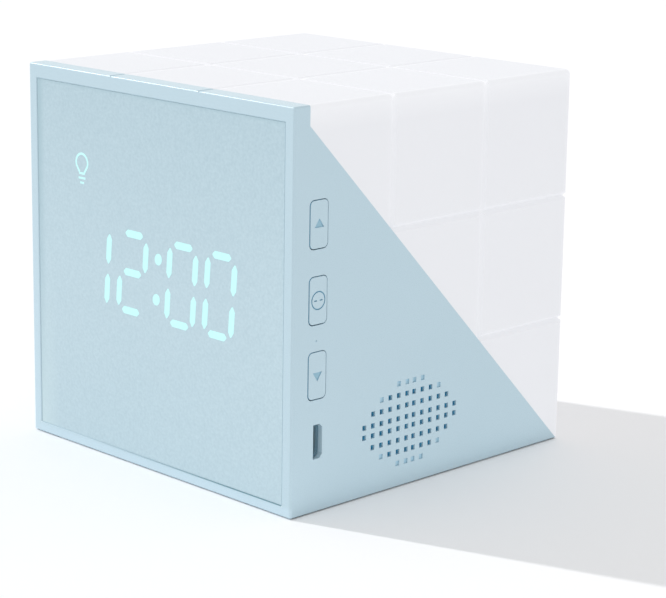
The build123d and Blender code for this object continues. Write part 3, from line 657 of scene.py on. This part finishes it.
# Speaker: an oval driver screwed behind the grille on two bosses. A foam ring seals it to the
# cheek, the basket and magnet are stamped and plated steel, the cone is pressed black paper and
# the coil is wound from enamelled copper.
gasket_foam, spot = start("gasket_foam")
cells = spot.add("ShaderNodeTexVoronoi", sockets={"Vector": spot, "Scale": 2600.0})
spot.surface({
    "Base Color": cells.tint(seen(28, 29, 30), seen(54, 55, 57)),
    "Roughness": cells * 0.1 + 0.85,
    "Normal": cells.bump(0.00008),
})
dress(gasket_foam, "speaker_gasket")

basket_black, spot = start("basket_black")
powder = spot.noise(2200.0, 3.0)
spot.surface({
    "Base Color": powder.tint(seen(36, 37, 39), seen(50, 51, 54)),
    "Roughness": powder * 0.2 + 0.4,
    "Normal": powder.bump(0.00002),
})
dress(basket_black, "speaker_basket")

cone_paper, spot = start("cone_paper")
fibre = spot.noise(1300.0, 6.0)
spot.surface({
    "Base Color": fibre.tint(seen(30, 31, 33), seen(58, 58, 60)),
    "Roughness": fibre * 0.15 + 0.75,
    "Normal": fibre.bump(0.00006),
})
dress(cone_paper, "speaker_cone")

coil_copper, spot = start("coil_copper")
winding = spot.add("ShaderNodeTexWave", {"wave_type": "BANDS", "bands_direction": "X"}, {
    "Vector": spot, "Scale": 900.0, "Distortion": 0.0,
}, 1)
spot.surface({
    "Base Color": winding.tint(seen(140, 74, 42), seen(206, 128, 82)),
    "Metallic": 1.0,
    "Roughness": winding * 0.2 + 0.25,
    "Normal": winding.bump(0.00005),
})
dress(coil_copper, "voice_coil")

magnet_nickel, spot = start("magnet_nickel")
plating = spot.noise(500.0, 5.0)
spot.surface({
    "Base Color": plating.tint(seen(168, 168, 166), seen(200, 200, 198)),
    "Metallic": 1.0,
    "Roughness": plating * 0.2 + 0.18,
})
dress(magnet_nickel, "speaker_magnet")


# Battery: a flat rechargeable pouch on the floor, held by a strip of foam tape. The pouch is
# silvery laminate with faint creases, and amber tape closes its front end, where the leads leave.
battery_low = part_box("battery_cell")[0]
amber_wide = 0.006
battery_foil, spot = start("battery_foil")
crease = spot.noise(160.0, 5.0)
laminate = crease.tint(seen(176, 179, 182), seen(204, 206, 208))
amber = spot.axis(1) < battery_low.y + amber_wide
spot.surface({
    "Base Color": amber.tint(laminate, seen(214, 160, 60)),
    "Metallic": 0.7 - amber * 0.7,
    "Roughness": crease * 0.2 + 0.3,
    "Normal": crease.bump(0.0002),
})
dress(battery_foil, "battery_cell")

tape_grey, spot = start("tape_grey")
foam = spot.noise(1900.0, 3.0)
spot.surface({
    "Base Color": foam.tint(seen(120, 122, 124), seen(150, 152, 154)),
    "Roughness": foam * 0.1 + 0.85,
    "Normal": foam.bump(0.00006),
})
dress(tape_grey, "battery_tape")


# Leads: thin pairs of stranded wire in soft PVC, one red and one black, from the battery, the
# speaker and the lamp board to their sockets.
for name, axis in (("battery_leads", 0), ("speaker_leads", 2), ("lamp_leads", 0)):
    lowest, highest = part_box(name)
    lead_pvc, spot = start(f"{name}_pvc")
    second = spot.axis(axis) > (lowest[axis] + highest[axis]) / 2
    scuff = spot.noise(900.0, 3.0)
    red = scuff.tint(seen(176, 34, 30), seen(200, 52, 44))
    black = scuff.tint(seen(26, 26, 28), seen(46, 46, 48))
    spot.surface({
        "Base Color": second.tint(red, black),
        "Roughness": scuff * 0.2 + 0.35,
        "Normal": scuff.bump(0.00002),
    })
    dress(lead_pvc, name)


# Lamp: a white reflector tray lies under the slope on four seats. The aluminium lamp board on it
# is lacquered white and carries nine yellow phosphor chips.
tray_white, spot = start("tray_white")
sheen = spot.noise(90.0, 2.0)
spot.surface({
    "Base Color": sheen.tint(seen(240, 241, 240), seen(247, 248, 247)),
    "Roughness": sheen * 0.1 + 0.3,
    "Normal": spot.noise(2600.0).bump(0.00001),
})
dress(tray_white, "lamp_tray")

lamp_lacquer, spot = start("lamp_lacquer")
print_dots = spot.noise(1400.0, 2.0)
spot.surface({
    "Base Color": print_dots.tint(seen(226, 228, 228), seen(242, 243, 243)),
    "Roughness": print_dots * 0.15 + 0.35,
})
dress(lamp_lacquer, "lamp_board")

phosphor_yellow, spot = start("phosphor_yellow")
gel = spot.noise(1100.0, 3.0)
spot.surface({
    "Base Color": gel.tint(seen(228, 206, 92), seen(242, 226, 128)),
    "Roughness": gel * 0.15 + 0.2,
    "Coat Weight": 0.3,
})
dress(phosphor_yellow, "lamp_chips")


# Lamp shade: a shell of milk-white polypropylene over the slope, hooked into the frame's head and
# screwed from below. The lamp is on low, so the frosted shell glows evenly. Painted light adds to
# the glow round its upper edge and along the thin lines scored into thirds of its top, back and
# sides, more towards the top.
shade_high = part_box("lamp_shade")[1]
line_half = 0.00085
line_fade = 0.008
rim_fade = 0.006
lid_deep = 0.0009
lid_edge = 0.0012
lid_painted_light = 0.3
upper_painted_light = {"x": 0.12, "y": 0.17}
line_painted_light = 0.05
level_painted_light = 0.02
rim_painted_light = 0.15
third = (housing_high.x - housing_low.x) / 3
shade_milk, spot = start("shade_milk")
milk = spot.noise(30.0, 3.0)
frosted = spot.noise(4200.0, 1.0)


def near_line(axis, middle):
    """How near the surface is to the two lines across an axis: 1 about their roots, 0 beside them."""
    off = abs(abs(spot.axis(axis) - middle) - third / 2)
    return ((2.0 - off * (2 / line_half)) | 0.0) & 1.0


drop = shade_high.z - spot.axis(2)
inside = (abs(spot.axis(0)) < shade_high.x - lid_edge) * (spot.axis(1) < shade_high.y - lid_edge)
lid = (drop < lid_deep) * inside
upper = (1.0 - drop * (1 / line_fade)) | 0.0
# Painted light: extra glow along the score lines, stronger near the top, and round the upper edge of
# the sides.
across_x = near_line(0, 0.0) * (lid * lid_painted_light + upper * upper_painted_light["x"] + line_painted_light)
across_y = near_line(1, 0.0) * (upper * upper_painted_light["y"] + line_painted_light)
across_z = near_line(2, display_height) * level_painted_light
rim_light = (rim_painted_light - drop * (rim_painted_light / rim_fade)) * (1.0 - lid)
shade_painted_light = across_x | across_y | across_z | rim_light
spot.surface({
    "Base Color": milk.tint(seen(158, 159, 161), seen(162, 163, 165)),
    "Roughness": frosted * 0.1 + 0.6,
    "Specular IOR Level": 0.05,
    "Subsurface Weight": 0.15,
    "Subsurface Radius": (0.006, 0.006, 0.006),
    "Subsurface Scale": 1.0,
    "Emission Color": shade_painted_light.tint(seen(197, 198, 202), seen(255, 255, 255)),
    "Emission Strength": 0.9,
    "Normal": frosted.bump(0.000006),
})
dress(shade_milk, "lamp_shade")


# Studio: a wide white floor, an even white room round it, one small far lamp at the left that
# throws the clock's shadow to the right, and a card lying there that lights the cheek from below.
floor_reach = 4.0
floor_mesh = bpy.data.meshes.new("floor")
floor_mesh.from_pydata(
    [(x, y, 0.0) for x, y in ((-1, -1), (1, -1), (1, 1), (-1, 1))], [], [(0, 1, 2, 3)]
)
floor_mesh.transform(Matrix.Scale(floor_reach, 4))
floor = bpy.data.objects.new("floor", floor_mesh)
bpy.context.scene.collection.objects.link(floor)
floor_white, spot = start("floor_white")
paper = spot.noise(3.0, 2.0)
spot.surface({
    "Base Color": paper.tint(seen(253, 253, 254), seen(254, 254, 255)),
    "Roughness": 1.0,
    "Specular IOR Level": 0.0,
})
floor_mesh.materials.append(floor_white)

room_level = 0.775
room = bpy.data.worlds.new("room")
bpy.context.scene.world = room
room.use_nodes = True
room.node_tree.nodes.clear()
ray = Wire(room.node_tree.nodes.new("ShaderNodeLightPath").outputs["Is Camera Ray"])
glossy = Wire(ray.socket.node.outputs["Is Glossy Ray"])
through = Wire(ray.socket.node.outputs["Is Transmission Ray"])
direct = (ray + glossy + through) & 1.0
light = ray.add("ShaderNodeBackground", sockets={
    "Color": (1.0, 1.0, 1.0, 1.0), "Strength": room_level + direct * (1 - room_level),
})
ray.add("ShaderNodeOutputWorld", sockets={"Surface": light})

lamp_from = math.radians(19.6)
lamp_height = math.radians(36.0)
key_lamp = bpy.data.lights.new("key_lamp", "SUN")
key_lamp.energy = 1.36
key_lamp.angle = math.radians(1.2)
far_lamp = bpy.data.objects.new("key_lamp", key_lamp)
bpy.context.scene.collection.objects.link(far_lamp)
travel = Vector((
    math.cos(lamp_from) * math.cos(lamp_height),
    math.sin(lamp_from) * math.cos(lamp_height),
    -math.sin(lamp_height),
))
far_lamp.rotation_euler = travel.to_track_quat("-Z", "Y").to_euler()

card_wide = 0.07
card_long = 0.11
card_lift = 0.001
card_gap = 0.003
card_glow = bpy.data.lights.new("floor_card", "AREA")
card_glow.energy = 0.007
card_glow.shape = "RECTANGLE"
card_glow.size = card_wide
card_glow.size_y = card_long
floor_card = bpy.data.objects.new("floor_card", card_glow)
bpy.context.scene.collection.objects.link(floor_card)
floor_card.location = (housing_high.x + card_gap + card_wide / 2, 0.0, card_lift)
floor_card.rotation_euler = (math.pi, 0.0, 0.0)
floor_card.visible_camera = False
floor_card.visible_glossy = False


# Camera: a long lens at the photograph's angle, a little above the clock and to its right. Its
# stand is given in sides of the clock, and its lens and axis in pixels of the picture.
picture_wide = 666
picture_high = 598
lens_pixels = 2243.0
axis_pixel = (290.0, 280.0)
clock_side = 0.09
stand = Vector((4.171, -4.043, 1.797)) * clock_side
azimuth = math.radians(46.09)
elevation = math.radians(13.28)
roll = math.radians(0.61)
camera_data = bpy.data.cameras.new("camera")
camera_data.sensor_width = 36.0
camera_data.lens = lens_pixels * camera_data.sensor_width / picture_wide
camera_data.shift_x = (picture_wide / 2 - axis_pixel[0]) / picture_wide
camera_data.shift_y = (axis_pixel[1] - picture_high / 2) / picture_wide
camera_data.clip_start = 0.01
camera = bpy.data.objects.new("camera", camera_data)
bpy.context.scene.collection.objects.link(camera)
camera.matrix_world = (
    Matrix.Translation(stand)
    @ Matrix.Rotation(azimuth, 4, "Z")
    @ Matrix.Rotation(math.pi / 2 - elevation, 4, "X")
    @ Matrix.Rotation(roll, 4, "Z")
)
bpy.context.scene.camera = camera
bpy.context.scene.view_settings.view_transform = "Standard"
